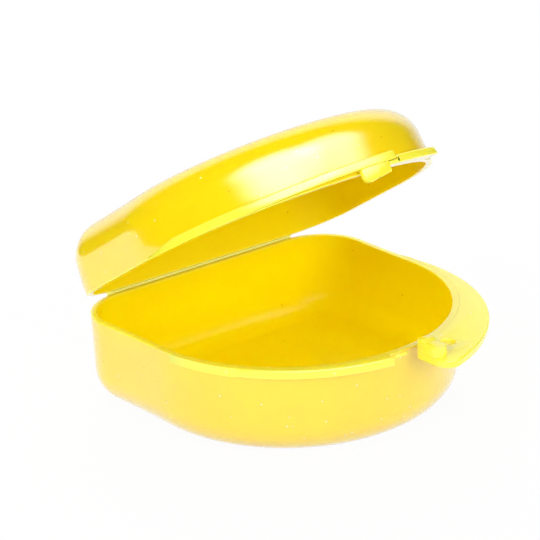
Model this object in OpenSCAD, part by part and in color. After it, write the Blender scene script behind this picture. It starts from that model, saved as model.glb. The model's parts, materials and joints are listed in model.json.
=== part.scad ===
// Retainer case: a shallow base tub and a domed lid, moulded in one shot with a film hinge between them.
// The frame: +Z up, the hinge side towards +Y, the front towards -Y.
// The origin is the middle of the underside.
// The lid stands open by lid_open, which is the pose that the joint counts from.

/* [Outline of both halves] */
// Depth of the walls, hinge side to front
case_d = 63.5; // [56:0.5:76]
// Half length of the straight hinge side
hinge_half = 23.3; // [20:0.1:26]
// Radius of the two back corners
corner_r = 11.6; // [10:0.1:13]
// Radius of the round front
front_r = 34.2; // [32:0.1:37]
// Radius of the hollow curve that draws each side in
waist_r = 240; // [120:5:500]
// Thickness of the walls
wall = 1.4; // [1:0.1:1.8]
// Height of the upright band below each rim, which carries the lips
rim_h = 2.8; // [2.7:0.1:3.4]

/* [Base tub] */
// Height of the base, table to rim
base_h = 19; // [16:0.1:24]
// Thickness of the base's floor
floor_t = 1.4; // [1:0.1:2]
// Radius between the base's floor and wall, outside
base_fillet = 7; // [4:0.1:8]
// How far the base's wall leans in above that radius
base_draft = 0.1; // [0.1:0.1:1]

/* [Lid shell] */
// Height of the lid, rim to crown
lid_h = 13.4; // [12:0.1:15]
// Thickness of the lid's crown
crown_t = 1.3; // [1:0.1:2]
// Radius between the lid's crown and wall, outside
lid_fillet = 7.5; // [4:0.1:8]
// How far the lid's wall leans in above its rim band
lid_draft = 0.3; // [0.1:0.1:1.5]
// Angle that the lid stands open
lid_open = 31; // [20:1:80]
// Gap left between the two rims of the shut case
seam_gap = 0.2; // [0.1:0.05:0.4]

/* [Lips] */
// Thickness of the base's lip
lip_t = 1.8; // [1.4:0.1:2.2]
// How far the left lips stand out at the front
lip_reach = 1.8; // [1.5:0.1:2]
// How far forward the left lips' arc is moved
lip_forward = 0.6; // [0.5:0.1:1]
// How far right the left lips' arc is moved, which makes them fade out on the left
lip_right = 1.2; // [0.6:0.1:1.3]
// Depth position where the left lips begin, from the front
lip_begin = 31; // [24:0.5:32]
// How far left of the middle the base's lip ends
lip_gap = 4.3; // [3.9:0.1:6]
// Thickness of the lid's left lip
lid_lip_t = 1.75; // [1.4:0.05:1.85]
// Height of the lid's left lip above its rim
lid_lip_lift = 0.95; // [0.6:0.05:1]
// How far right of the middle the lid's left lip ends
lid_lip_end = 6; // [5:0.1:8]
// Gap between the ends of the lid's two lips
side_lip_gap = 0.15; // [0.1:0.05:1]
// Thickness of the lid's right lip
side_lip_t = 1.6; // [1.2:0.1:2.2]
// How far the lid's right lip stands out at the front
side_lip_reach = 1.65; // [1.4:0.05:2]
// How far right the right lip's arc is moved, which makes it widen to the right
side_lip_right = 3.5; // [2:0.1:4]
// Angle round its own arc, from the front, where the right lip's tip begins
side_lip_angle = 25; // [15:1:40]
// Radius of the right lip's round tip
side_tip_r = 1.8; // [1.5:0.1:2]

/* [Thumb flange] */
// Thickness of the thumb flange
flange_t = 1.6; // [1.3:0.1:2]
// How far the thumb flange's arc stands out at the front
flange_reach = 11.35; // [10.5:0.05:12]
// How far forward the flange's arc is moved, which makes it taper
flange_forward = 4.8; // [4:0.1:6]
// How far left the flange's arc is moved, which makes it fade out on the right
flange_left = 5.8; // [4:0.1:6.5]
// How far right of the middle the flange's left end is cut
flange_end = 0.5; // [0.3:0.1:1]
// Radius of the flange's left outer corner
flange_corner_r = 3; // [1:0.1:3.4]
// Depth position where the flange fades into the wall, from the front
flange_fade = 37; // [30:0.5:38]
// Radius of the lanyard eye
eye_r = 1.4; // [1.2:0.1:1.7]
// How far the eye's centre lies outside the wall
eye_out = 3.85; // [3.6:0.05:5]
// Angle round the front, from the middle, of the eye
eye_angle = 11.8; // [11:0.1:16]

/* [Latch] */
// Width of the lid's latch tongue
tongue_w = 6.9; // [6:0.1:7.5]
// How far left of the middle the tongue begins
tongue_left = 3.3; // [2.4:0.1:3.4]
// Thickness of the tongue
tongue_t = 1.1; // [0.9:0.1:1.3]
// How far the tongue reaches below the seam
tongue_drop = 1.9; // [1.8:0.1:2.6]
// How far the tongue's foot rises towards its right end
tongue_rise = 0.9; // [0.2:0.1:1.2]
// Radius of the tongue's lower left corner
tongue_corner_r = 1.5; // [0.8:0.1:2]
// How far the tongue's barb stands in from its face
barb = 0.15; // [0.1:0.05:0.2]
// How far the catch bead stands out of the base's wall
bead = 0.4; // [0.3:0.05:0.45]
// How far the middle of the bead lies below the rim
bead_drop = 0.8; // [0.7:0.1:1.1]
// How far the bead's end keeps from the base's lip
bead_inset = 1; // [0.8:0.1:1.5]
// Gap between the barb and the bead, which the real snap fit closes
snap_gap = 0.1; // [0.05:0.05:0.15]
// Gap round the tongue in the flange's slot
slot_gap = 0.4; // [0.3:0.05:0.5]
// Width of the keeper, along the front
keeper_w = 3.2; // [2.6:0.1:3.4]
// Length of the keeper, across the flange
keeper_l = 5.6; // [5:0.1:6]
// Height of the keeper above the flange
keeper_h = 2.1; // [1.8:0.1:2.4]
// Height of the keeper's nose above the flange
nose_h = 3.1; // [2.9:0.1:3.4]
// Gap between the keeper and the lid's lip
keeper_gap = 0.4; // [0.35:0.05:0.6]

/* [Film hinge] */
// How far the hinge line lies behind the back walls
hinge_back = 0.3; // [0.25:0.05:0.6]
// How far the film's middle lies from the seam where it meets each wall
film_seat = 0.5; // [0.45:0.05:0.6]
// Thickness of the film
film_t = 0.35; // [0.25:0.05:0.4]
// How far the film runs past the straight hinge side at each end
film_over = 1.7; // [0.2:0.1:2]

/* [Hidden] */

plastic = [0.98, 0.86, 0.1];
plastic_pale = [0.99, 0.93, 0.45];
fillet_steps = 8;
corner_steps = 10;
waist_steps = 5;
front_steps = 26;
// Slack of a cutting shape past the piece that it cuts
past = 1;

back_y = case_d / 2;
front_c = [0, front_r - case_d / 2];
hinge_y = back_y + hinge_back;
eye_at = front_c + (front_r + eye_out) * [sin(eye_angle), -cos(eye_angle)];
// The tongue hangs outside the bead, in rings about the front's centre
tongue_in = front_r + bead + snap_gap + barb;
tongue_out = tongue_in + tongue_t;
tongue_right = tongue_w - tongue_left;
slot_out = tongue_out + slot_gap;
slot_right = tongue_right + slot_gap;
lip_r = front_r + lip_reach - lip_forward;
lip_c = front_c + [lip_right, -lip_forward];
side_lip_r = front_r + side_lip_reach;
side_lip_c = front_c + [side_lip_right, 0];
flange_r = front_r + flange_reach - flange_forward;
flange_c = front_c - [flange_left, flange_forward];
keeper_y = lip_c[1] - lip_r - keeper_gap;

$fn = 240;

// Centre of the hollow side curve, which touches the corner's arc and the front's arc
function waist_c() =
    let (c1 = [hinge_half, back_y - corner_r], span = front_c - c1, len = norm(span), u = span / len,
         r1 = corner_r + waist_r, r3 = front_r + waist_r,
         along = (r1 * r1 - r3 * r3 + len * len) / (2 * len), away = sqrt(r1 * r1 - along * along))
    c1 + along * u + away * [-u[1], u[0]];

function arc(c, r, from, to, steps, first = 0, last = 0) =
    [for (i = [first : steps - last]) let (a = from + (to - from) * i / steps) c + r * [cos(a), sin(a)]];

function bearing(from, to) = atan2(to[1] - from[1], to[0] - from[0]);

// Right half of the outline, from the hinge side round to the middle of the front, moved in by inset
function half_outline(inset) =
    let (c1 = [hinge_half, back_y - corner_r], c2 = waist_c(),
         a1 = bearing(c1, c2), a3 = bearing(front_c, c2))
    concat(arc(c1, corner_r - inset, 90, a1, corner_steps),
           arc(c2, waist_r + inset, a1 + 180, a3 + 180, waist_steps, 1, 1),
           arc(front_c, front_r - inset, a3, -90, front_steps));

// Whole outline, counter-clockwise from above
function outline(inset = 0) =
    let (right = half_outline(inset), n = len(right))
    concat([for (i = [0 : n - 1]) [-right[i][0], right[i][1]]], [for (i = [n - 2 : -1 : 0]) right[i]]);

// Profile of a cup as [height, inset] pairs: up the outside from its floor, over the rim, down the inside
function cup_profile(h, fillet, draft, floor) =
    let (inner = fillet - wall)
    concat([for (i = [0 : fillet_steps]) let (a = 90 * i / fillet_steps)
                [fillet * (1 - cos(a)), draft + fillet * (1 - sin(a))]],
           [[h - rim_h, 0], [h, 0], [h, wall], [h - rim_h, wall]],
           [for (i = [fillet_steps : -1 : 0]) let (a = 90 * i / fillet_steps)
                [floor + inner * (1 - cos(a)), draft + wall + inner * (1 - sin(a))]]);

// Cup lofted through the outline at every step of its profile, floor at z = 0
module cup(h, fillet, draft, floor) {
    rings = [for (p = cup_profile(h, fillet, draft, floor)) [for (q = outline(p[1])) [q[0], q[1], p[0]]]];
    n = len(rings[0]);
    last = len(rings) - 1;
    sides = [for (k = [0 : last - 1]) for (i = [0 : n - 1]) let (j = (i + 1) % n)
                [k * n + i, (k + 1) * n + i, (k + 1) * n + j, k * n + j]];
    polyhedron(
        points = [for (ring = rings) each ring],
        faces = concat([[for (i = [0 : n - 1]) i]], sides, [[for (i = [n - 1 : -1 : 0]) last * n + i]]),
        convexity = 6);
}

// Part of the plan between two distances right of the middle, forward of a depth position
module plan_window(left, right, from_front) {
    translate([left, -back_y - flange_reach - past])
        square([right - left, from_front + flange_reach + past]);
}

// Plan of a lip: the part of a disc that lies outside the wall
module lip_plan(c, r) {
    difference() {
        translate(c) circle(r);
        polygon(outline());
    }
}

// Turns what is drawn on the shut case to where the open lid is
module on_lid() {
    translate([0, hinge_y, base_h]) rotate([-lid_open, 0, 0]) translate([0, -hinge_y, seam_gap]) children();
}

// Ring piece about the front's centre, between two distances right of the middle, from an [r, z] profile
module front_ring(profile, left, right, r) {
    from = asin(left / r) - 90;
    translate(front_c) rotate(from) rotate_extrude(angle = asin(right / r) - 90 - from) polygon(profile);
}

module base_tub() {
    color(plastic) cup(base_h, base_fillet, base_draft, floor_t);
}

module base_lip() {
    color(plastic_pale) translate([0, 0, base_h - lip_t]) linear_extrude(lip_t) intersection() {
        lip_plan(lip_c, lip_r);
        plan_window(-case_d, -lip_gap, lip_begin);
    }
}

module thumb_flange() {
    color(plastic_pale) translate([0, 0, base_h - flange_t]) linear_extrude(flange_t) difference() {
        intersection() {
            lip_plan(flange_c, flange_r);
            plan_window(flange_end, case_d, flange_fade);
        }
        flange_corner();
        // slot that the tongue drops into
        intersection() {
            translate(front_c) circle(slot_out);
            plan_window(-past, slot_right, case_d / 2);
        }
        translate(eye_at) circle(eye_r);
    }
}

// What the rounding takes off the flange's left outer corner
module flange_corner() {
    x = flange_end + flange_corner_r;
    aside = x - flange_c[0];
    y = flange_c[1] - sqrt(flange_r * flange_r - aside * aside) + flange_corner_r;
    difference() {
        translate([flange_end - past, y - flange_corner_r - past])
            square([flange_corner_r + past, flange_corner_r + past]);
        translate([x, y]) circle(flange_corner_r);
    }
}

// Upright stop on the flange's end, with a round outer end and a nose that leans over the lid's lip
module latch_keeper() {
    lean = keeper_gap / 2;
    outer_c = keeper_y - keeper_l + keeper_w / 2;
    color(plastic) translate([0, 0, base_h]) intersection() {
        linear_extrude(nose_h) union() {
            translate([flange_end, outer_c]) square([keeper_w, keeper_y + lean - outer_c]);
            translate([flange_end + keeper_w / 2, outer_c]) circle(d = keeper_w);
        }
        translate([flange_end, 0, 0]) rotate([90, 0, 90]) linear_extrude(keeper_w) polygon([
            [keeper_y - keeper_l, 0], [keeper_y, 0], [keeper_y, keeper_h], [keeper_y + lean, nose_h - lean],
            [keeper_y, nose_h], [keeper_y - lean - keeper_w / 3, nose_h],
            [keeper_y - keeper_w * 2 / 3, keeper_h], [keeper_y - keeper_l, keeper_h]
        ]);
    }
}

// Half-round ridge on the wall, which the tongue's barb snaps under
module catch_bead() {
    turn = asin((lip_gap - bead_inset) / front_r);
    color(plastic) translate([front_c[0], front_c[1], base_h - bead_drop]) rotate(-90 - turn)
        rotate_extrude(angle = turn) intersection() {
            translate([front_r, 0]) circle(bead);
            translate([front_r, -bead]) square([bead, 2 * bead]);
        }
}

// Thin web that bends: a half ring whose ends lie flat on the two back walls
module hinge_film() {
    half = lid_open / 2;
    seat_back = hinge_back * cos(half) - film_seat * sin(half);
    mid_r = hinge_back * sin(half) + film_seat * cos(half);
    tip = -hinge_back / cos(half);
    spread = 3 * mid_r;
    film_half = hinge_half + film_over;
    color(plastic_pale) translate([-film_half, hinge_y, base_h]) rotate([90, 0, 90])
        linear_extrude(2 * film_half) rotate(-half) intersection() {
            translate([-seat_back, 0]) difference() {
                circle(mid_r + film_t / 2);
                circle(mid_r - film_t / 2);
            }
            polygon([[tip, 0], [tip + spread * tan(half), -spread], [spread, -spread], [spread, spread],
                     [tip + spread * tan(half), spread]]);
        }
}

module lid_shell() {
    color(plastic) on_lid() translate([0, 0, lid_h]) mirror([0, 0, 1])
        cup(lid_h, lid_fillet, lid_draft, crown_t);
}

module lid_left_lip() {
    color(plastic_pale) on_lid() translate([0, 0, lid_lip_lift]) linear_extrude(lid_lip_t) intersection() {
        lip_plan(lip_c, lip_r);
        plan_window(-case_d, lid_lip_end, lip_begin);
    }
}

// Lip that widens to the right and ends in a round tip
module lid_right_lip() {
    tip_c = side_lip_c + (side_lip_r - side_tip_r) * [sin(side_lip_angle), -cos(side_lip_angle)];
    color(plastic_pale) on_lid() linear_extrude(side_lip_t) difference() {
        union() {
            intersection() {
                translate(side_lip_c) circle(side_lip_r);
                plan_window(lid_lip_end + side_lip_gap, case_d, case_d);
                // left of the line from the arc's centre to where the tip begins
                translate(side_lip_c) rotate(side_lip_angle) translate([-case_d, -case_d]) square(case_d);
            }
            translate(tip_c) circle(side_tip_r);
        }
        polygon(outline());
    }
}

// Hook that hangs from the lid's left lip, with a barb along its inner foot
module latch_tongue() {
    foot = -tongue_drop - seam_gap;
    top = lid_lip_lift + past;
    corner_c = [tongue_corner_r - tongue_left, foot + tongue_corner_r];
    color(plastic) on_lid() intersection() {
        front_ring([
            [tongue_in, lid_lip_lift], [tongue_out, lid_lip_lift], [tongue_out, foot + tongue_t / 3],
            [tongue_out - tongue_t / 3, foot], [tongue_in, foot], [tongue_in - barb, foot + 2 * barb],
            [tongue_in - barb, foot + 4 * barb], [tongue_in, foot + 5 * barb]
        ], -tongue_left - past, tongue_right + past, tongue_out);
        // outline seen from the front, with a round left corner and a foot that rises to the right
        rotate([90, 0, 0]) linear_extrude(case_d) polygon(concat(
            [[tongue_right, foot + tongue_rise], [tongue_right, top], [-tongue_left, top]],
            arc(corner_c, tongue_corner_r, 180, 270, corner_steps)));
    }
}

base_tub();
base_lip();
thumb_flange();
latch_keeper();
catch_bead();
hinge_film();
lid_shell();
lid_left_lip();
lid_right_lip();
latch_tongue();
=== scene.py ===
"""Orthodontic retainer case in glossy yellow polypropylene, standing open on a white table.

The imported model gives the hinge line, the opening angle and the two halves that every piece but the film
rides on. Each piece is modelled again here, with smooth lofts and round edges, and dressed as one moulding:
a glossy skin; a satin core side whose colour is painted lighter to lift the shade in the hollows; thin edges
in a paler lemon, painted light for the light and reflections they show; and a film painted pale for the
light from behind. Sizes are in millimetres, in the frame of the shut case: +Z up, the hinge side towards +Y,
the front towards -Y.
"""

from __future__ import annotations

import json
import logging
import math
from collections.abc import Callable, Iterator, Sequence
from contextlib import contextmanager
from dataclasses import dataclass, field
from enum import Enum, IntEnum

import bmesh
import bpy
from mathutils import Matrix, Vector

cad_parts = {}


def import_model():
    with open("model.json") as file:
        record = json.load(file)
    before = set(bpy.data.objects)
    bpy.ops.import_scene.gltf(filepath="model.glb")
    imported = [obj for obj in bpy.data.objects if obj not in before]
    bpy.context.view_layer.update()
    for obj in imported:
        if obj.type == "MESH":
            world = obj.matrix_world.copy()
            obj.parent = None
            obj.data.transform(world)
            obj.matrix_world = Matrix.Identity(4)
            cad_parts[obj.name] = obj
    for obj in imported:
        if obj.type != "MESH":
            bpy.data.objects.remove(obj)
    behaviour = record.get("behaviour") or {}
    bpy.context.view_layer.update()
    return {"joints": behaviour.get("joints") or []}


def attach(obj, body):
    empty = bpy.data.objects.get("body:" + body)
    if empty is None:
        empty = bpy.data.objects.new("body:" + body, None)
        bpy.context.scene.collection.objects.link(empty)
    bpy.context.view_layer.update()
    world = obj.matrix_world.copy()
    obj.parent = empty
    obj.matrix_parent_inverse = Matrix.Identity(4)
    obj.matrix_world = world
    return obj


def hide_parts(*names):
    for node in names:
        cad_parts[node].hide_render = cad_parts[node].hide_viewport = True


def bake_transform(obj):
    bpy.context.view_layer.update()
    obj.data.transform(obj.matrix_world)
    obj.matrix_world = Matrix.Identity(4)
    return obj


MM = 0.001
LOG = logging.getLogger("retainer_case")

LEVEL_TOL = 1e-4  # mm by which a point may miss a level and still lie on it
LEAST_INSET = 1e-5  # mm, enough to give an upright wall its own ring of edges
OVERRUN = 1.0  # mm that a cutting tool stands past what it cuts
SHARP_DEG = 28  # edges that turn by more than this may be rounded
SMOOTH_DEG = 32  # edges that turn by less than this are shaded smooth
FRONT = -90.0  # bearing of the middle of the front, in degrees
MIX_SHARE, MIX_UNDER, MIX_OVER, MIX_OUT = 0, 6, 7, 2  # sockets of a Mix node that mixes colours

EdgeTest = Callable[[bmesh.types.BMEdge], bool]


class Half(Enum):
    """The two halves of the case, by the names of their bodies."""

    BASE = "base"
    LID = "lid"


class Element(Enum):
    """The kinds of mesh element that are selected in edit mode."""

    EDGE = "EDGE"
    FACE = "FACE"


class Cut(Enum):
    """How a tool cuts a piece, by the names of the Boolean modifier's operations."""

    AWAY = "DIFFERENCE"
    SHARED = "INTERSECT"


class Side(IntEnum):
    """Where a face of a shell lies, by the number of its material slot."""

    SKIN = 0
    HOLLOW = 1
    RIM = 2


def to_linear(code: str) -> tuple[float, float, float, float]:
    """Turn a colour from sRGB to linear.

    Args:
        code: Six hex digits after a hash sign.

    Returns:
        Red, green, blue and a full alpha.
    """
    shares = [int(code[i : i + 2], 16) / 255 for i in (1, 3, 5)]
    red, green, blue = (s / 12.92 if s <= 0.04045 else ((s + 0.055) / 1.055) ** 2.4 for s in shares)
    return red, green, blue, 1.0


def add_node(
    tree: bpy.types.NodeTree, kind: str, settings: dict[str, object], inputs: dict[str | int, object]
) -> bpy.types.Node:
    """Add a node to a tree, set its options, and link or set its inputs.

    Args:
        tree: The node tree that gets the node.
        kind: Blender's name of the node type.
        settings: Options of the node by name.
        inputs: For each input, the socket that feeds it or its fixed value.

    Returns:
        The new node.
    """
    node = tree.nodes.new(kind)
    for name, value in settings.items():
        setattr(node, name, value)
    for key, value in inputs.items():
        if isinstance(value, bpy.types.NodeSocket):
            tree.links.new(value, node.inputs[key])
        else:
            node.inputs[key].default_value = value
    return node


def empty_tree(owner: bpy.types.Material | bpy.types.World) -> bpy.types.NodeTree:
    """Give a material or a world a node tree with nothing in it.

    Args:
        owner: The material or world.

    Returns:
        Its empty tree.
    """
    owner.use_nodes = True
    owner.node_tree.nodes.clear()
    return owner.node_tree


def clear_selection() -> None:
    """Deselect every object, so that the next operator acts on its own piece alone."""
    bpy.ops.object.select_all(action="DESELECT")


def middle(edge: bmesh.types.BMEdge) -> Vector:
    """Give the middle of an edge, in millimetres."""
    return (edge.verts[0].co + edge.verts[1].co) / 2 / MM


def heading(azimuth: float, elevation: float) -> Vector:
    """Give the direction to something round the case, where azimuth 0 is the front and 90 the right."""
    turn, rise = math.radians(azimuth), math.radians(elevation)
    return Vector((math.sin(turn) * math.cos(rise), -math.cos(turn) * math.cos(rise), math.sin(rise)))


def bearing(start: Vector, end: Vector) -> float:
    """Give the direction from one point to another in plan, in degrees."""
    return math.degrees(math.atan2(end.y - start.y, end.x - start.x))


def front_bearing(x: float, radius: float) -> float:
    """Give the bearing of the front point of a circle that lies x right of its centre, in degrees."""
    return math.degrees(math.asin(x / radius)) + FRONT


def polar(centre: Vector, radius: float, degrees: float) -> Vector:
    """Give the point at a radius and a bearing from a centre, in plan."""
    turn = math.radians(degrees)
    return centre + radius * Vector((math.cos(turn), math.sin(turn), 0))


def arc(centre: Vector, radius: float, start: float, end: float, steps: int) -> list[Vector]:
    """Give evenly spaced points on an arc in plan.

    Args:
        centre: Middle of the arc.
        radius: Radius of the arc.
        start: Bearing of the first point, in degrees.
        end: Bearing of the last point, in degrees.
        steps: Number of stretches between the points.

    Returns:
        One point more than there are steps.
    """
    return [polar(centre, radius, start + (end - start) * i / steps) for i in range(steps + 1)]


def crossings(centre: Vector, radius: float, other: Vector, other_radius: float) -> tuple[Vector, Vector]:
    """Give the two points where two circles in plan cross.

    Args:
        centre: Middle of the first circle.
        radius: Radius of the first circle.
        other: Middle of the second circle.
        other_radius: Radius of the second circle.

    Returns:
        The points to the left and to the right of the way from the first middle to the second.
    """
    span = other - centre
    along = (radius**2 - other_radius**2 + span.length_squared) / (2 * span.length)
    away = math.sqrt(radius**2 - along**2)
    unit = span.normalized()
    spot = centre + along * unit
    left = away * Vector((-unit.y, unit.x, 0))
    return spot + left, spot - left


@dataclass(frozen=True)
class CasePlan:
    """Outline that both halves share: straight back, round corners, drawn-in sides and a round front."""

    depth: float = 63.5
    hinge_half: float = 23.3
    corner_r: float = 11.6
    front_r: float = 34.2
    waist_r: float = 240.0
    corner_steps: int = 26
    waist_steps: int = 12
    front_steps: int = 64

    @property
    def back_y(self) -> float:
        """Depth position of the back wall's outer face."""
        return self.depth / 2

    @property
    def front_c(self) -> Vector:
        """Centre of the round front."""
        return Vector((0, self.front_r - self.depth / 2, 0))

    def from_front_c(self, spot: Vector) -> float:
        """Give how far a point lies from the centre of the round front, in plan."""
        return (Vector((spot.x, spot.y, 0)) - self.front_c).length

    def right_half(self) -> list[Vector]:
        """Give the outline from the end of the straight back round to the middle of the front.

        Returns:
            Points in plan, clockwise from above.
        """
        corner_c = Vector((self.hinge_half, self.back_y - self.corner_r, 0))
        near, far = self.corner_r + self.waist_r, self.front_r + self.waist_r
        waist_c, _ = crossings(corner_c, near, self.front_c, far)
        leave, meet = bearing(corner_c, waist_c), bearing(self.front_c, waist_c)
        return (
            arc(corner_c, self.corner_r, 90, leave, self.corner_steps)
            + arc(waist_c, self.waist_r, leave + 180, meet + 180, self.waist_steps)[1:-1]
            + arc(self.front_c, self.front_r, meet, FRONT, self.front_steps)
        )

    def points(self) -> list[Vector]:
        """Give the whole outline.

        Returns:
            Points in plan, counter-clockwise from above.
        """
        right = self.right_half()
        left = [Vector((-p.x, p.y, 0)) for p in right]
        return left + right[-2::-1]


@dataclass
class Workpiece:
    """A mesh on the bench: a filled outline that operators then raise, step in, cut and round."""

    body: bpy.types.Object

    @classmethod
    def from_outline(cls, name: str, outline: Sequence[Vector]) -> Workpiece:
        """Start a piece from a filled circle whose points are drawn onto an outline.

        Args:
            name: Name of the object and of its mesh.
            outline: Points of the flat start face, in millimetres.

        Returns:
            The piece, in object mode.
        """
        clear_selection()
        bpy.ops.mesh.primitive_circle_add(vertices=len(outline), fill_type="NGON")
        body = bpy.context.object
        body.name = body.data.name = name
        for vertex, point in zip(body.data.vertices, outline):
            vertex.co = point * MM
        return cls(body)

    def take_up(self) -> None:
        """Select the piece alone and make it active."""
        clear_selection()
        self.body.select_set(True)
        bpy.context.view_layer.objects.active = self.body

    @contextmanager
    def editing(self, element: Element) -> Iterator[None]:
        """Hold the piece in edit mode, with nothing selected.

        Args:
            element: The kind of element that is selected there.
        """
        self.take_up()
        bpy.ops.object.mode_set(mode="EDIT")
        bpy.ops.mesh.select_mode(type=element.value)
        bpy.ops.mesh.select_all(action="DESELECT")
        yield
        bpy.ops.object.mode_set(mode="OBJECT")

    def select_level(self, level: float) -> None:
        """Select the faces that lie flat at a height, in edit mode.

        Args:
            level: The height, in millimetres.
        """
        shape = bmesh.from_edit_mesh(self.body.data)
        for face in shape.faces:
            if all(abs(v.co.z / MM - level) < LEVEL_TOL for v in face.verts):
                face.select_set(True)
        bmesh.update_edit_mesh(self.body.data)

    def select_sharp(self, test: EdgeTest) -> None:
        """Select the sharp edges that pass a test, in edit mode.

        Args:
            test: Says whether an edge is to be selected.
        """
        sharp = math.radians(SHARP_DEG)
        shape = bmesh.from_edit_mesh(self.body.data)
        for edge in shape.edges:
            if edge.is_manifold and edge.calc_face_angle() > sharp and test(edge):
                edge.select_set(True)
        bmesh.update_edit_mesh(self.body.data)

    def point_faces_out(self) -> None:
        """Turn every face of the closed piece outwards."""
        with self.editing(Element.FACE):
            bpy.ops.mesh.select_all(action="SELECT")
            bpy.ops.mesh.normals_make_consistent(inside=False)

    def extrude(self, travel: Vector) -> None:
        """Draw the start face out into a closed prism.

        Args:
            travel: Direction and length, in millimetres.
        """
        with self.editing(Element.FACE):
            bpy.ops.mesh.select_all(action="SELECT")
            bpy.ops.mesh.extrude_region_move(TRANSFORM_OT_translate={"value": travel * MM})
        self.point_faces_out()

    def step_in(self, level: float, steps: Sequence[tuple[float, float]]) -> None:
        """Inset the flat face at a height again and again, each time moving it along its normal.

        Args:
            level: Height of the flat face, in millimetres.
            steps: For each step, how far it goes in and how far it goes out along the normal.
        """
        with self.editing(Element.FACE):
            self.select_level(level)
            for inward, outward in steps:
                bpy.ops.mesh.inset(thickness=inward * MM, depth=outward * MM, use_even_offset=True)

    def lean_in(self, level: float, inward: float, ring: LipArc) -> None:
        """Draw the flat face at a height towards the middle of a lip's arc, so that the outer face leans.

        Args:
            level: Height of the flat face, in millimetres.
            inward: How far the outer edge goes in, in millimetres.
            ring: The lip's arc.
        """
        share = 1 - inward / ring.radius
        with self.editing(Element.FACE):
            self.select_level(level)
            bpy.ops.transform.resize(value=(share, share, 1), center_override=ring.centre * MM)

    def round_edges(self, test: EdgeTest, width: float, segments: int = 3) -> None:
        """Round the sharp edges that pass a test.

        Args:
            test: Says whether an edge is to be rounded.
            width: Size of the rounding, in millimetres.
            segments: Number of strips that make the rounding.
        """
        with self.editing(Element.EDGE):
            self.select_sharp(test)
            bpy.ops.mesh.bevel(offset=width * MM, segments=segments, affect="EDGES", clamp_overlap=False)

    def combine(self, tool: Workpiece, cut: Cut) -> None:
        """Cut the piece with another or keep what they share, and drop the other.

        Args:
            tool: The piece that cuts.
            cut: What the tool takes away.
        """
        modifier = self.body.modifiers.new("combine", "BOOLEAN")
        modifier.operation = cut.value
        modifier.solver = "EXACT"
        modifier.object = tool.body
        self.take_up()
        bpy.ops.object.modifier_apply(modifier=modifier.name)
        bpy.data.meshes.remove(tool.body.data)

    def place(self, matrix: Matrix) -> None:
        """Move the piece to its place and leave the place in its mesh.

        Args:
            matrix: The place, in metres.
        """
        self.take_up()
        self.body.matrix_world = matrix @ self.body.matrix_world
        bpy.ops.object.transform_apply(location=True, rotation=True, scale=True)

    def smooth(self) -> None:
        """Shade the piece smooth across its gentle edges."""
        self.take_up()
        bpy.ops.object.shade_smooth_by_angle(angle=math.radians(SMOOTH_DEG))


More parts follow.
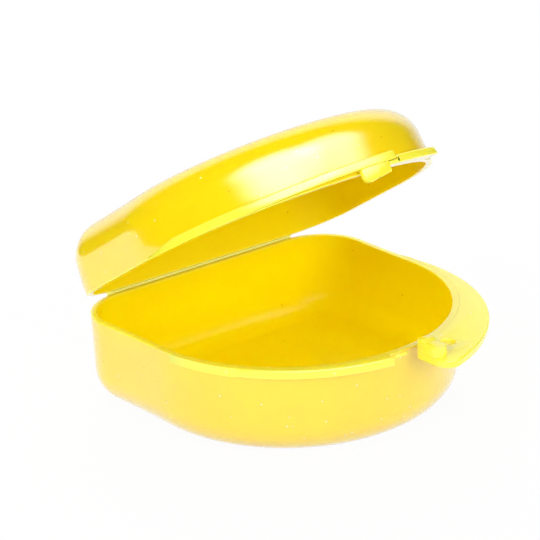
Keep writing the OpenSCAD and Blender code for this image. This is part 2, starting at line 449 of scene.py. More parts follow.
@dataclass(frozen=True)
class MouldedPolypropylene:
    """Glossy injection-moulded polypropylene: a deep clean yellow under a mirror-smooth skin, a little
    translucent, with pale and brown specks of pigment and the faint waves of a thin wall that shrank. The
    specks are drawn a little larger than the real grains, so that they show in the render."""

    name: str = "moulded_polypropylene"
    colour: str = "#FFDC02"
    deep_colour: str = "#FFD400"
    pale_fleck: str = "#FFF1A8"
    dark_fleck: str = "#DE9A04"
    ior: float = 1.5
    specular: float = 1.0
    roughness: float = 0.2
    coat: float = 1.0
    coat_roughness: float = 0.05
    glow_depth: float = 0.25
    glow_share: float = 1.0
    glow_spread: tuple[float, float, float] = (1.0, 0.85, 0.3)
    fleck_gap: float = 2.6
    fleck_size: float = 0.24
    dark_gap: float = 4.6
    dark_size: float = 0.2
    dark_shift: float = 0.31
    speck_core: float = 0.6
    mottle_size: float = 9.0
    mottle_detail: float = 3.0
    wave_length: float = 14.0
    wave_detail: float = 1.0
    wave_height: float = 0.05

    def specks(
        self, tree: bpy.types.NodeTree, place: bpy.types.NodeSocket, gap: float, size: float, shift: float
    ) -> bpy.types.NodeSocket:
        """Add scattered round specks.

        Args:
            tree: The material's node tree.
            place: Where the pattern is read.
            gap: Mean distance between specks, in millimetres.
            size: Radius of a speck, in millimetres.
            shift: How far the pattern is moved, in metres, which keeps two sets of specks apart.

        Returns:
            A socket that is 1 on a speck and 0 between specks.
        """
        moved = add_node(tree, "ShaderNodeVectorMath", {"operation": "ADD"}, {0: place, 1: (shift,) * 3})
        scatter = {"Vector": moved.outputs[0], "Scale": 1 / (gap * MM)}
        cells = add_node(tree, "ShaderNodeTexVoronoi", {"feature": "F1"}, scatter)
        edge = size / gap
        mask = add_node(
            tree,
            "ShaderNodeMapRange",
            {"interpolation_type": "SMOOTHSTEP"},
            {
                "Value": cells.outputs["Distance"],
                "From Min": edge * self.speck_core,
                "From Max": edge,
                "To Min": 1,
                "To Max": 0,
            },
        )
        return mask.outputs[0]

    def clouds(
        self, tree: bpy.types.NodeTree, place: bpy.types.NodeSocket, size: float, detail: float
    ) -> bpy.types.NodeSocket:
        """Add a soft cloudy pattern.

        Args:
            tree: The material's node tree.
            place: Where the pattern is read.
            size: Size of a cloud, in millimetres.
            detail: Number of finer layers.

        Returns:
            A socket from 0 to 1.
        """
        inputs = {"Vector": place, "Scale": 1 / (size * MM), "Detail": detail}
        return add_node(tree, "ShaderNodeTexNoise", {}, inputs).outputs["Fac"]

    def build(self) -> bpy.types.Material:
        """Make the material.

        Returns:
            The material, with its nodes linked.
        """
        material = bpy.data.materials.new(self.name)
        tree = empty_tree(material)
        place = add_node(tree, "ShaderNodeTexCoord", {}, {}).outputs["Object"]
        layers = (
            (self.clouds(tree, place, self.mottle_size, self.mottle_detail), self.colour),
            (self.specks(tree, place, self.fleck_gap, self.fleck_size, 0.0), self.pale_fleck),
            (self.specks(tree, place, self.dark_gap, self.dark_size, self.dark_shift), self.dark_fleck),
        )
        tint: object = to_linear(self.deep_colour)
        for share, code in layers:
            mix = {MIX_SHARE: share, MIX_UNDER: tint, MIX_OVER: to_linear(code)}
            tint = add_node(tree, "ShaderNodeMix", {"data_type": "RGBA"}, mix).outputs[MIX_OUT]
        waves = self.clouds(tree, place, self.wave_length, self.wave_detail)
        relief = {"Strength": 1.0, "Distance": self.wave_height * MM, "Height": waves}
        bump = add_node(tree, "ShaderNodeBump", {}, relief)
        shader = add_node(
            tree,
            "ShaderNodeBsdfPrincipled",
            {"subsurface_method": "RANDOM_WALK"},
            {
                "Base Color": tint,
                "Roughness": self.roughness,
                "IOR": self.ior,
                "Specular IOR Level": self.specular,
                "Coat Weight": self.coat,
                "Coat Roughness": self.coat_roughness,
                "Subsurface Weight": self.glow_share,
                "Subsurface Radius": self.glow_spread,
                "Subsurface Scale": self.glow_depth * MM,
                "Normal": bump.outputs[0],
            },
        )
        add_node(tree, "ShaderNodeOutputMaterial", {}, {"Surface": shader.outputs[0]})
        return material


@dataclass
class Shell:
    """One moulded half: a thin cup with an upright rim band, a leaning wall and a rounded flat end."""

    name: str
    plan: CasePlan
    height: float
    end_t: float
    fillet: float
    draft: float
    carries_lip: Callable[[Vector], bool]
    wall: float = 1.4
    rim_h: float = 2.8
    rim_round: float = 0.28
    fillet_steps: int = 12

    def turn_in(self, radius: float, outward: float) -> list[tuple[float, float]]:
        """Give the inset steps of a quarter round.

        Args:
            radius: Radius of the round.
            outward: 1 on the outside and -1 in the hollow.

        Returns:
            Pairs of inset and travel.
        """
        angles = [math.pi / 2 * (1 - i / self.fillet_steps) for i in range(self.fillet_steps + 1)]
        return [
            (radius * (math.sin(a) - math.sin(b)), outward * radius * (math.cos(b) - math.cos(a)))
            for a, b in zip(angles, angles[1:])
        ]

    def build(self) -> Workpiece:
        """Model the shell with its rim at height 0 and its flat end below.

        Returns:
            The closed shell.
        """
        piece = Workpiece.from_outline(self.name, self.plan.points())
        piece.extrude(Vector((0, 0, -self.rim_h)))
        wall_drop = self.height - self.rim_h - self.fillet
        piece.step_in(-self.rim_h, [(self.draft, wall_drop), *self.turn_in(self.fillet, 1)])
        inner = self.fillet - self.wall
        inner_drop = self.height - self.end_t - self.rim_h - inner
        rim = [(self.wall, 0.0), (LEAST_INSET, -self.rim_h)]
        piece.step_in(0, [*rim, (self.draft, -inner_drop), *self.turn_in(inner, -1)])
        piece.round_edges(self.is_bare_rim, self.rim_round)
        self.mark_sides(piece)
        return piece

    def mark_sides(self, piece: Workpiece) -> None:
        """Put each face in the material slot of the side where it lies.

        Args:
            piece: The modelled shell, with its rim at height 0.
        """
        inside = Vector((0, 0, -self.height / 2)) * MM
        for face in piece.body.data.polygons:
            if face.center.z > -self.rim_round * MM:
                side = Side.RIM
            elif face.normal.dot(inside - face.center) > 0:
                side = Side.HOLLOW
            else:
                side = Side.SKIN
            face.material_index = side.value

    def is_bare_rim(self, edge: bmesh.types.BMEdge) -> bool:
        """Say whether an edge is one of the rim's that no lip runs on from.

        Args:
            edge: An edge of the shell, with its rim at height 0.

        Returns:
            Whether the edge may be rounded.
        """
        spot = middle(edge)
        outside = self.plan.from_front_c(spot) > self.plan.front_r - self.wall / 2
        return abs(spot.z) < LEVEL_TOL and not (outside and self.carries_lip(spot))


@dataclass
class LipArc:
    """Outer arc of a lip or flange, moved off the front's own centre so that it tapers into the wall."""

    plan: CasePlan
    reach: float
    forward: float
    sideways: float
    gap: float = 0.02
    blunt: float = 0.08
    steps: int = 48

    @property
    def centre(self) -> Vector:
        """Centre of the arc."""
        return self.plan.front_c + Vector((self.sideways, -self.forward, 0))

    @property
    def radius(self) -> float:
        """Radius of the arc."""
        return self.plan.front_r + self.reach - self.forward

    @property
    def fade(self) -> float:
        """Bearing where the arc has come down to a blunt end on the wall, in degrees."""
        ends = crossings(self.centre, self.radius, self.plan.front_c, self.plan.front_r + self.blunt)
        return bearing(self.centre, min(ends, key=lambda spot: spot.y))

    def bearing_at(self, x: float) -> float:
        """Give the bearing of the arc's front point at a distance right of the middle, in degrees."""
        return front_bearing(x - self.centre.x, self.radius)

    def outer(self, start: float, end: float) -> list[Vector]:
        """Give the arc between two bearings."""
        return arc(self.centre, self.radius, start, end, self.steps)

    def along_wall(self, spot: Vector, x: float) -> list[Vector]:
        """Give the edge along the wall from beside a point back to a distance right of the middle.

        Args:
            spot: Where the outer edge reaches the wall.
            x: Distance right of the middle where the edge ends.

        Returns:
            Points of the edge.
        """
        radius = self.plan.front_r + self.gap
        end = front_bearing(x, radius)
        start = bearing(self.plan.front_c, spot)
        start += 360 * round((end - start) / 360)
        return arc(self.plan.front_c, radius, start, end, self.steps)

    def crescent(self, x: float) -> list[Vector]:
        """Give the plan of a lip that is cut straight at one end and runs out in the wall at the other.

        Args:
            x: Distance right of the middle of the straight cut.

        Returns:
            Points of the closed plan.
        """
        edge = self.outer(self.bearing_at(x), self.fade)
        return edge + self.along_wall(edge[-1], x)


@dataclass
class CaseHalf:
    """What the halves share: a plan, the skin's finish, the hollows' and edges' finishes painted lighter,
    and a body.
    """

    plan: CasePlan
    finish: bpy.types.Material
    hollow_finish_painted_lighter: bpy.types.Material
    edge_finish_painted_paler: bpy.types.Material
    half: Half
    lip_reach: float = 1.8
    lip_forward: float = 0.6
    lip_right: float = 1.2
    wall_room: float = 0.15
    rounding_room: float = 0.5
    sharp_root: float = 0.1
    gap: float = 0.02
    corner_steps: int = 10
    tip_steps: int = 16

    @property
    def left_ring(self) -> LipArc:
        """Arc of the left lips, which lie over each other when the case is shut."""
        return LipArc(self.plan, self.lip_reach, self.lip_forward, self.lip_right)

    def done(
        self, piece: Workpiece, place: Matrix, node: str, *finishes: bpy.types.Material
    ) -> bpy.types.Object:
        """Set a piece in place, dress it and let it ride on its half.

        Args:
            piece: The modelled piece.
            place: Where it goes in the frame.
            node: The solid that it stands for.
            finishes: Its material slots. With none given, it has the thin edges' finish, which is painted
                paler.

        Returns:
            The finished object.
        """
        piece.place(place)
        piece.smooth()
        for finish in finishes or (self.edge_finish_painted_paler,):
            piece.body.data.materials.append(finish)
        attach(piece.body, self.half.value)
        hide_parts(node)
        LOG.info("%s rides on %s", piece.body.name, self.half.value)
        return piece.body

    def shell_done(self, shell: Shell, place: Matrix, node: str) -> bpy.types.Object:
        """Model a shell, set it in place and dress each of its sides.

        Args:
            shell: The shell's sizes.
            place: Where it goes in the frame.
            node: The solid that it stands for.

        Returns:
            The finished object.
        """
        return self.done(shell.build(), place, node, self.finish, self.hollow_finish_painted_lighter, self.edge_finish_painted_paler)

    def clear_of_wall(self, edge: bmesh.types.BMEdge) -> bool:
        """Say whether an edge lies clear of the front's wall."""
        return self.plan.from_front_c(middle(edge)) > self.plan.front_r + self.wall_room

    def has_room(self, edge: bmesh.types.BMEdge) -> bool:
        """Say whether a lip is wide enough at an edge for the edge to be rounded."""
        return self.plan.from_front_c(middle(edge)) > self.plan.front_r + self.rounding_room


@dataclass
class BaseHalf(CaseHalf):
    """The tub with its lip, thumb flange, keeper and catch bead."""

    height: float = 19.0
    floor_t: float = 1.4
    fillet: float = 7.0
    draft: float = 0.1
    lip_t: float = 1.8
    lip_left: float = -4.3
    flange_t: float = 1.6
    flange_reach: float = 11.35
    flange_forward: float = 4.8
    flange_right: float = -5.8
    flange_left: float = 0.5
    corner_r: float = 3.0
    slot_out: float = 36.35
    slot_right: float = 4.0
    slot_steps: int = 8
    eye_r: float = 1.4
    eye_out: float = 3.85
    eye_angle: float = 11.8
    eye_steps: int = 36
    keeper_y: float = -33.95
    keeper_w: float = 3.2
    keeper_l: float = 5.6
    keeper_h: float = 2.1
    keeper_round: float = 0.22
    nose_h: float = 2.6
    nose_lean: float = 0.2
    bead_r: float = 0.4
    bead_drop: float = 0.8
    bead_left: float = -3.3
    bead_share: float = 0.9
    bead_steps: int = 10
    bead_strips: int = 8
    edge_round: float = 0.3

    @property
    def standing(self) -> Matrix:
        """Lift from the rim's plane to the rim's height above the table."""
        return Matrix.Translation((0, 0, self.height * MM))

    def carries_lip(self, spot: Vector) -> bool:
        """Say whether a lip or the flange runs on from the rim at a point."""
        return spot.y < self.plan.front_c.y

    def tub(self) -> bpy.types.Object:
        """Model the tub.

        Returns:
            The finished object.
        """
        shell = Shell(
            "base_shell", self.plan, self.height, self.floor_t, self.fillet, self.draft, self.carries_lip
        )
        return self.shell_done(shell, self.standing, "base_tub")

    def plate(self, name: str, outline: Sequence[Vector], thickness: float) -> Workpiece:
        """Raise a flat plate whose top is flush with the rim.

        Args:
            name: Name of the piece.
            outline: Its plan.
            thickness: Its thickness.

        Returns:
            The plate, with sharp edges.
        """
        piece = Workpiece.from_outline(name, outline)
        piece.extrude(Vector((0, 0, -thickness)))
        return piece

    def lip(self) -> bpy.types.Object:
        """Model the narrow lip on the left of the front.

        Returns:
            The finished object.
        """
        piece = self.plate("front_lip", self.left_ring.crescent(self.lip_left), self.lip_t)
        piece.round_edges(self.has_room, self.edge_round)
        return self.done(piece, self.standing, "base_lip")

    def flange(self) -> bpy.types.Object:
        """Model the thumb flange with its slot and lanyard eye.

        Returns:
            The finished object.
        """
        ring = LipArc(self.plan, self.flange_reach, self.flange_forward, self.flange_right)
        inner_r = ring.radius - self.corner_r
        start = front_bearing(self.flange_left + self.corner_r - ring.centre.x, inner_r)
        corner_c = polar(ring.centre, inner_r, start)
        slot = [front_bearing(x, self.slot_out) for x in (self.slot_right, self.flange_left)]
        edge = ring.outer(start, ring.fade)
        outline = (
            arc(corner_c, self.corner_r, 180, start + 360, self.corner_steps)[:-1]
            + edge
            + ring.along_wall(edge[-1], self.slot_right)
            + arc(self.plan.front_c, self.slot_out, *slot, self.slot_steps)
        )
        piece = self.plate("thumb_flange_plate", outline, self.flange_t)
        piece.combine(self.eye_cutter(), Cut.AWAY)
        piece.round_edges(self.has_room, self.edge_round)
        return self.done(piece, self.standing, "thumb_flange")

    def eye_cutter(self) -> Workpiece:
        """Make the round tool that cuts the lanyard eye.

        Returns:
            The tool, which stands past both faces of the flange.
        """
        spot = polar(self.plan.front_c, self.plan.front_r + self.eye_out, self.eye_angle + FRONT)
        spot.z += OVERRUN
        tool = Workpiece.from_outline("eye_tool", arc(spot, self.eye_r, 0, 360, self.eye_steps)[:-1])
        tool.extrude(Vector((0, 0, -self.flange_t - 2 * OVERRUN)))
        return tool

    def keeper(self) -> bpy.types.Object:
        """Model the keeper: a side profile drawn across, kept inside a plan with a round outer end.

        Returns:
            The finished object.
        """
        inner, outer = self.keeper_y, self.keeper_y - self.keeper_l
        third = self.keeper_w / 3
        side = [
            (outer, self.gap),
            (inner, self.gap),
            (inner, self.keeper_h),
            (inner + self.nose_lean, self.nose_h - self.nose_lean),
            (inner, self.nose_h),
            (inner - self.nose_lean - third, self.nose_h),
            (inner - 2 * third, self.keeper_h),
            (outer, self.keeper_h),
        ]
        piece = Workpiece.from_outline("keeper_block", [Vector((self.flange_left, y, z)) for y, z in side])
        piece.extrude(Vector((self.keeper_w, 0, 0)))
        piece.combine(self.keeper_cutter(outer), Cut.SHARED)
        piece.round_edges(lambda edge: middle(edge).z > self.sharp_root, self.keeper_round)
        return self.done(piece, self.standing, "latch_keeper")

    def keeper_cutter(self, outer: float) -> Workpiece:
        """Make the tool that gives the keeper its plan.

        Args:
            outer: Depth position of the round outer end.

        Returns:
            The tool, which stands past the keeper's foot and top.
        """
        half = self.keeper_w / 2
        end_c = Vector((self.flange_left + half, outer + half, -OVERRUN))
        back = self.keeper_y + 2 * self.nose_lean
        plan = arc(end_c, half, 180, 360, self.tip_steps)
        plan += [Vector((end_c.x + side, back, end_c.z)) for side in (half, -half)]
        tool = Workpiece.from_outline("keeper_tool", plan)
        tool.extrude(Vector((0, 0, self.nose_h + 2 * OVERRUN)))
        return tool

    def bead(self) -> bpy.types.Object:
        """Model the half-round catch bead on the front wall.

        Returns:
            The finished object.
        """
        front_c, front_r = self.plan.front_c, self.plan.front_r
        left = front_bearing(self.bead_left, front_r)
        outline = arc(front_c, front_r + self.gap, left, FRONT, self.bead_steps)
        outline += arc(front_c, front_r + self.bead_r, FRONT, left, self.bead_steps)
        piece = Workpiece.from_outline("catch_ridge", [p + Vector((0, 0, self.bead_r)) for p in outline])
        piece.extrude(Vector((0, 0, -2 * self.bead_r)))
        piece.round_edges(self.clear_of_wall, self.bead_r * self.bead_share, self.bead_strips)
        lowered = Matrix.Translation((0, 0, (self.height - self.bead_drop) * MM))
        return self.done(piece, lowered, "catch_bead")

    def build(self) -> list[bpy.types.Object]:
        """Model every piece of the base."""
        return [self.tub(), self.lip(), self.flange(), self.keeper(), self.bead()]


@dataclass
class LidHalf(CaseHalf):
    """The domed lid with its two lips and the latch tongue."""

    hinge: Vector = field(default_factory=Vector)
    opening: float = 0.0
    height: float = 13.4
    crown_t: float = 1.3
    fillet: float = 7.5
    draft: float = 0.3
    seam: float = 0.2
    lip_t: float = 1.75
    lip_lift: float = 0.95
    lip_end: float = 6.0
    lip_tilt: float = 1.5
    lip_draft: float = 0.3
    lip_gap: float = 0.15
    side_t: float = 1.6
    side_reach: float = 1.65
    side_right: float = 3.5
    side_angle: float = 25.0
    side_tip_r: float = 1.8
    side_tip_turn: float = 150.0
    tongue_in: float = 34.85
    tongue_t: float = 1.1
    tongue_left: float = -3.3
    tongue_right: float = 3.6
    tongue_top: float = 0.2
    tongue_foot: float = -2.1
    tongue_rise: float = 0.9
    tongue_corner_r: float = 1.5
    tongue_round: float = 0.12
    tongue_strips: int = 2
    tongue_steps: int = 24
    barb: float = 0.15
    edge_round: float = 0.28

    @property
    def standing(self) -> Matrix:
        """Swing from the shut case, with the rim's plane at height 0, to where the lid stands open.

        Returns:
            The place of the lid's pieces.
        """
        pivot = Matrix.Translation(self.hinge)
        shut = Matrix.Translation((0, -self.hinge.y, self.seam * MM))
        return pivot @ Matrix.Rotation(-self.opening, 4, "X") @ shut

    def carries_lip(self, spot: Vector) -> bool:
        """Say whether the right lip runs on from the rim at a point of the cup before it is turned over."""
        return spot.y < 0 and spot.x < -self.tongue_right

    def dome(self) -> bpy.types.Object:
        """Model the lid's shell, which is a cup turned upside down.

        Returns:
            The finished object.
        """
        shell = Shell(
            "lid_dome", self.plan, self.height, self.crown_t, self.fillet, self.draft, self.carries_lip
        )
        return self.shell_done(shell, self.standing @ Matrix.Rotation(math.pi, 4, "Y"), "lid_shell")

    def left_lip(self) -> bpy.types.Object:
        """Model the lifted lip on the left and middle of the lid's front.

        Returns:
            The finished object.
        """
        outline = self.left_ring.crescent(self.lip_end)
        piece = Workpiece.from_outline("lifted_lip", [p + Vector((0, 0, self.lip_lift)) for p in outline])
        piece.extrude(Vector((0, 0, self.lip_t)))
        piece.lean_in(self.lip_lift + self.lip_t, self.lip_draft, self.left_ring)
        piece.round_edges(self.has_room, self.edge_round)
        end = Matrix.Translation(Vector((self.lip_end, 0, self.lip_lift)) * MM)
        falling = end @ Matrix.Rotation(math.radians(-self.lip_tilt), 4, "Y") @ end.inverted()
        return self.done(piece, self.standing @ falling, "lid_left_lip")

    def right_lip(self) -> bpy.types.Object:
        """Model the short lip at the seam, right of the latch, with its round tip.

        Returns:
            The finished object.
        """
        ring = LipArc(self.plan, self.side_reach, 0.0, self.side_right)
        left = self.tongue_right + self.lip_gap
        turn = self.side_angle + FRONT
        tip_c = polar(ring.centre, ring.radius - self.side_tip_r, turn)
        tip = arc(tip_c, self.side_tip_r, turn, turn + self.side_tip_turn, self.tip_steps)
        outline = ring.outer(ring.bearing_at(left), turn)[:-1] + tip + ring.along_wall(tip[-1], left)
        piece = Workpiece.from_outline("side_lip", outline)
        piece.extrude(Vector((0, 0, self.side_t)))
        piece.lean_in(self.side_t, self.lip_draft, ring)
        piece.combine(self.under_lip_cutter(), Cut.AWAY)
        piece.round_edges(self.has_room, self.edge_round)
        return self.done(piece, self.standing, "lid_right_lip")

    def under_lip_cutter(self) -> Workpiece:
        """Make the box that lowers the right lip where it runs on below the end of the left lip.

        Returns:
            The tool.
        """
        low, right = self.lip_lift - self.lip_gap, self.lip_end + self.lip_gap
        corners = [(0, 0), (right, 0), (right, -self.plan.depth), (0, -self.plan.depth)]
        tool = Workpiece.from_outline("step_tool", [Vector((x, y, low)) for x, y in corners])
        tool.extrude(Vector((0, 0, self.side_t)))
        return tool

    def tongue(self) -> bpy.types.Object:
        """Model the hook: a section spun round the front's centre, then cut to its outline from the front.

        Returns:
            The finished object.
        """
        outer = self.tongue_in + self.tongue_t
        foot, top = self.tongue_foot, self.lip_lift + self.tongue_top
        chamfer = self.tongue_t / 3
        section = [
            (self.tongue_in, top),
            (outer, top),
            (outer, foot + chamfer),
            (outer - chamfer, foot),
            (self.tongue_in, foot),
            (self.tongue_in - self.barb, foot + 2 * self.barb),
            (self.tongue_in - self.barb, foot + 4 * self.barb),
            (self.tongue_in, foot + 5 * self.barb),
        ]
        ends = self.tongue_left - OVERRUN, self.tongue_right + OVERRUN
        start, end = (front_bearing(x, outer) for x in ends)
        flat = [polar(self.plan.front_c, r, start) + Vector((0, 0, z)) for r, z in section]
        piece = Workpiece.from_outline("latch_hook", flat)
        turn = math.radians(start - end)
        with piece.editing(Element.FACE):
            bpy.ops.mesh.select_all(action="SELECT")
            centre = self.plan.front_c * MM
            bpy.ops.mesh.spin(steps=self.tongue_steps, angle=turn, center=centre, axis=(0, 0, 1))
        piece.point_faces_out()
        piece.combine(self.tongue_cutter(), Cut.SHARED)
        root = self.lip_lift - self.sharp_root
        piece.round_edges(lambda edge: middle(edge).z < root, self.tongue_round, self.tongue_strips)
        return self.done(piece, self.standing, "latch_tongue")

    def under_lip(self, x: float) -> float:
        """Give the height just below the left lip at a distance right of the middle."""
        return self.lip_lift + (x - self.lip_end) * math.tan(math.radians(self.lip_tilt)) - self.gap

    def tongue_cutter(self) -> Workpiece:
        """Make the tool for the hook's outline: a round left corner and a foot that rises to the right.

        Returns:
            The tool.
        """
        radius, foot = self.tongue_corner_r, self.tongue_foot
        corner_c = Vector((self.tongue_left + radius, foot + radius, 0))
        front = [
            *arc(corner_c, radius, 180, 270, self.corner_steps),
            Vector((self.tongue_right, foot + self.tongue_rise, 0)),
            Vector((self.tongue_right, self.under_lip(self.tongue_right), 0)),
            Vector((self.tongue_left, self.under_lip(self.tongue_left), 0)),
        ]
        tool = Workpiece.from_outline("hook_tool", [Vector((p.x, 0, p.y)) for p in front])
        tool.extrude(Vector((0, -self.plan.depth, 0)))
        return tool

    def build(self) -> list[bpy.types.Object]:
        """Model every piece of the lid."""
        return [self.dome(), self.left_lip(), self.right_lip(), self.tongue()]


@dataclass
class FilmHinge:
    """Thin web of the same plastic along the back, a half ring curled to the lid's opening."""

    plan: CasePlan
    finish: bpy.types.Material
    hinge: Vector
    opening: float
    seat: float = 0.5
    thickness: float = 0.35
    past_back: float = 1.7
    steps: int = 24

    def build(self) -> bpy.types.Object:
        """Model the web, curled between the two halves.

        Returns:
            The finished object.
        """
        back = self.hinge.y / MM - self.plan.back_y
        half = self.opening / 2
        seat_back = back * math.cos(half) - self.seat * math.sin(half)
        mid_r = back * math.sin(half) + self.seat * math.cos(half)
        reach = math.pi / 2 + half / 2
        bends = [-reach + 2 * reach * i / self.steps for i in range(self.steps + 1)]
        inner, outer = mid_r - self.thickness / 2, mid_r + self.thickness / 2
        section = [(inner * math.cos(a) - seat_back, inner * math.sin(a)) for a in bends]
        section += [(outer * math.cos(a) - seat_back, outer * math.sin(a)) for a in reversed(bends)]
        end = self.plan.hinge_half + self.past_back
        piece = Workpiece.from_outline("film_web", [Vector((-end, y, z)) for y, z in section])
        piece.extrude(Vector((2 * end, 0, 0)))
        piece.place(Matrix.Translation(self.hinge) @ Matrix.Rotation(-half, 4, "X"))
        piece.smooth()
        body = piece.body
        body.data.materials.append(self.finish)
        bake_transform(body)
        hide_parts("hinge_film")
        LOG.info("%s bends between the halves", body.name)
        return body


@dataclass(frozen=True)
class SoftBox:
    """A soft white light seen in the gloss, by its direction and the angles between which it fades."""

    azimuth: float
    elevation: float
    inner: float
    outer: float
    strength: float

    def add(
        self, tree: bpy.types.NodeTree, way: bpy.types.NodeSocket, rest: bpy.types.NodeSocket | float
    ) -> bpy.types.NodeSocket:
        """Add the light to what the gloss already sees.

        Args:
            tree: The world's node tree.
            way: Direction that is looked along.
            rest: Strength of the other lights.

        Returns:
            A socket with the strength of all of them.
        """
        to_box = heading(self.azimuth, self.elevation)
        near = add_node(tree, "ShaderNodeVectorMath", {"operation": "DOT_PRODUCT"}, {0: way, 1: to_box})
        glow = add_node(
            tree,
            "ShaderNodeMapRange",
            {"interpolation_type": "SMOOTHSTEP"},
            {
                "Value": near.outputs["Value"],
                "From Min": math.cos(math.radians(self.outer)),
                "From Max": math.cos(math.radians(self.inner)),
                "To Min": 0.0,
                "To Max": self.strength,
            },
        )
        total = add_node(tree, "ShaderNodeMath", {"operation": "ADD"}, {0: glow.outputs[0], 1: rest})
        return total.outputs[0]


@dataclass(frozen=True)
class Lamp:
    """A soft box that lights the case, by its direction, how far off it stands and its power in watts."""

    name: str
    azimuth: float
    elevation: float
    power: float
    distance: float = 0.84
    width: float = 0.6
    height: float = 0.45

    def add(self, aim: Vector) -> None:
        """Stand the lamp facing a point. The gloss doesn't see it, as it has soft boxes of its own.

        Args:
            aim: The point that it lights, in metres.
        """
        data = bpy.data.lights.new(self.name, "AREA")
        data.shape = "RECTANGLE"
        data.size, data.size_y = self.width, self.height
        data.energy = self.power
        lamp = bpy.data.objects.new(self.name, data)
        lamp.visible_glossy = False
        bpy.context.scene.collection.objects.link(lamp)
        away = heading(self.azimuth, self.elevation)
        turn = (-away).to_track_quat("-Z", "Y").to_matrix().to_4x4()
        lamp.matrix_world = Matrix.Translation(aim + away * self.distance) @ turn


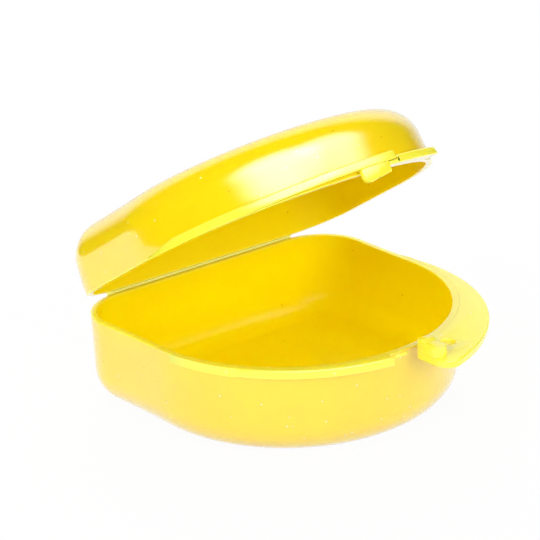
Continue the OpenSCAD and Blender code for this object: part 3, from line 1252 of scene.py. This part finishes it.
@dataclass
class Studio:
    """White table, soft light and the camera at the photographed angle."""

    azimuth: float = -38.545
    elevation: float = 20.883
    roll: float = -2.298
    aim: tuple[float, float, float] = (-3.64, 4.291, 26.125)
    distance: float = 333.54
    lens: float = 109.96
    clip_start: float = 0.01
    fill: float = 0.53
    gloom: float = 0.024
    lamps: tuple[Lamp, ...] = (
        Lamp("front_lamp", azimuth=0, elevation=22, power=3.8),
        Lamp("left_lamp", azimuth=-85, elevation=28, power=3.8),
        Lamp("back_lamp", azimuth=150, elevation=45, power=5.0),
    )
    boxes: tuple[SoftBox, ...] = (
        SoftBox(azimuth=-32, elevation=56, inner=6, outer=36, strength=6.4),
        SoftBox(azimuth=36, elevation=54, inner=2, outer=30, strength=4.4),
        SoftBox(azimuth=148, elevation=10, inner=30, outer=48, strength=0.8),
    )
    backdrop: str = "#FFFFFF"
    table: str = "#DCDCDC"
    shadow_share: float = 0.04
    sheet_width: float = 0.36
    sheet_t: float = 0.0005
    table_width: float = 4.0

    def camera(self) -> None:
        """Set up the camera."""
        turn, tilt = math.radians(self.azimuth), math.radians(self.roll)
        back = heading(self.azimuth, self.elevation)
        right = Vector((math.cos(turn), math.sin(turn), 0))
        up = back.cross(right)
        across = math.cos(tilt) * right + math.sin(tilt) * up
        above = math.cos(tilt) * up - math.sin(tilt) * right
        data = bpy.data.cameras.new("camera")
        data.lens = self.lens
        data.clip_start = self.clip_start
        camera = bpy.data.objects.new("camera", data)
        bpy.context.scene.collection.objects.link(camera)
        spot = Vector(self.aim) * MM + back * self.distance * MM
        axes = Matrix((across, above, back)).transposed().to_4x4()
        camera.matrix_world = Matrix.Translation(spot) @ axes
        bpy.context.scene.camera = camera

    def floor(self) -> None:
        """Lay a white sheet on a white table. The gloss shows the sheet, and the dim room beyond it."""
        white = self.table_white()
        layers = (("sheet", self.sheet_width, 0.0), ("table", self.table_width, self.sheet_t))
        for name, width, depth in layers:
            clear_selection()
            bpy.ops.mesh.primitive_plane_add(size=width, location=(0, 0, -depth))
            plane = bpy.context.object
            plane.name = name
            plane.visible_glossy = name == "sheet"
            plane.data.materials.append(white)

    def table_white(self) -> bpy.types.Material:
        """Make the white that the camera and the gloss see nearly evenly lit, with a faint shadow.

        Returns:
            The material, with its nodes linked.
        """
        material = bpy.data.materials.new("white_table")
        tree = empty_tree(material)
        path = add_node(tree, "ShaderNodeLightPath", {}, {})
        rays = {0: path.outputs["Is Camera Ray"], 1: path.outputs["Is Glossy Ray"]}
        seen = add_node(tree, "ShaderNodeMath", {"operation": "MAXIMUM"}, rays)
        shares = {0: seen.outputs[0], 1: 1 - self.shadow_share}
        even = add_node(tree, "ShaderNodeMath", {"operation": "MULTIPLY"}, shares)
        lit = add_node(tree, "ShaderNodeBsdfDiffuse", {}, {"Color": to_linear(self.table)})
        white = add_node(tree, "ShaderNodeEmission", {}, {"Strength": 1.0})
        looks = {0: even.outputs[0], 1: lit.outputs[0], 2: white.outputs[0]}
        mixed = add_node(tree, "ShaderNodeMixShader", {}, looks)
        add_node(tree, "ShaderNodeOutputMaterial", {}, {"Surface": mixed.outputs[0]})
        return material

    def surroundings(self) -> None:
        """Light the room softly all round, and show the gloss a dim room with soft boxes in it."""
        world = bpy.data.worlds.new("studio")
        bpy.context.scene.world = world
        tree = empty_tree(world)
        path = add_node(tree, "ShaderNodeLightPath", {}, {})
        way = add_node(tree, "ShaderNodeTexCoord", {}, {}).outputs["Generated"]
        strength: bpy.types.NodeSocket | float = self.gloom
        for box in self.boxes:
            strength = box.add(tree, way, strength)
        plain = to_linear(self.backdrop)
        white = add_node(tree, "ShaderNodeBackground", {}, {"Color": plain, "Strength": 1.0})
        fill = add_node(tree, "ShaderNodeBackground", {}, {"Color": plain, "Strength": self.fill})
        mirror = add_node(tree, "ShaderNodeBackground", {}, {"Color": plain, "Strength": strength})
        bounced = {0: path.outputs["Is Glossy Ray"], 1: fill.outputs[0], 2: mirror.outputs[0]}
        shiny = add_node(tree, "ShaderNodeMixShader", {}, bounced)
        direct = {0: path.outputs["Is Camera Ray"], 1: shiny.outputs[0], 2: white.outputs[0]}
        seen = add_node(tree, "ShaderNodeMixShader", {}, direct)
        add_node(tree, "ShaderNodeOutputWorld", {}, {"Surface": seen.outputs[0]})

    def build(self) -> None:
        """Set up the whole studio."""
        bpy.context.scene.view_settings.view_transform = "Standard"
        self.camera()
        self.floor()
        for lamp in self.lamps:
            lamp.add(Vector(self.aim) * MM)
        self.surroundings()


def main() -> None:
    """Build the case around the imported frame, then the studio."""
    logging.basicConfig(level=logging.INFO, format="%(name)s: %(message)s")
    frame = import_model()
    joint = frame["joints"][0]
    hinge = Vector(joint["pos_m"])
    opening = math.radians(-joint["range_deg"][0])
    plan = CasePlan()
    finish = MouldedPolypropylene().build()
    # The core half of the mould is less polished, so the hollows are satin. Their colour is painted
    # lighter than the skin's, to lift the shade in the hollows, and they get no pale specks.
    core = MouldedPolypropylene(
        name="satin_core_painted_lighter_polypropylene",
        colour="#FFE902",
        deep_colour="#FFE100",
        pale_fleck="#FFE100",
        specular=0.35,
        roughness=0.32,
        coat=0.0,
    ).build()
    # Lips, rims, the flange and the latch get a paler lemon colour, which is painted light: it stands in for
    # the light that these thin parts let through and the pale reflections on the lips, and lifts the shade
    # on the rims.
    edge = MouldedPolypropylene(
        name="thin_edge_painted_paler_polypropylene", colour="#FFEE52", deep_colour="#FFEA40", specular=0.7, coat=0.8
    ).build()
    # The film's colour is painted pale, to stand in for the light from behind that shows through it and to
    # lift the shade in the groove between the halves. It is dull, and thin enough to glow with the light
    # from behind.
    web = MouldedPolypropylene(
        name="film_painted_pale_polypropylene",
        colour="#FFF6A8",
        deep_colour="#FFF298",
        specular=0.35,
        roughness=0.32,
        coat=0.0,
        glow_depth=0.8,
        glow_spread=(1.0, 1.0, 0.8),
    ).build()
    pieces = BaseHalf(plan, finish, core, edge, Half.BASE).build()
    pieces += LidHalf(plan, finish, core, edge, Half.LID, hinge=hinge, opening=opening).build()
    pieces.append(FilmHinge(plan, web, hinge, opening).build())
    LOG.info("the case has %d pieces", len(pieces))
    Studio().build()


if __name__ == "__main__":
    main()
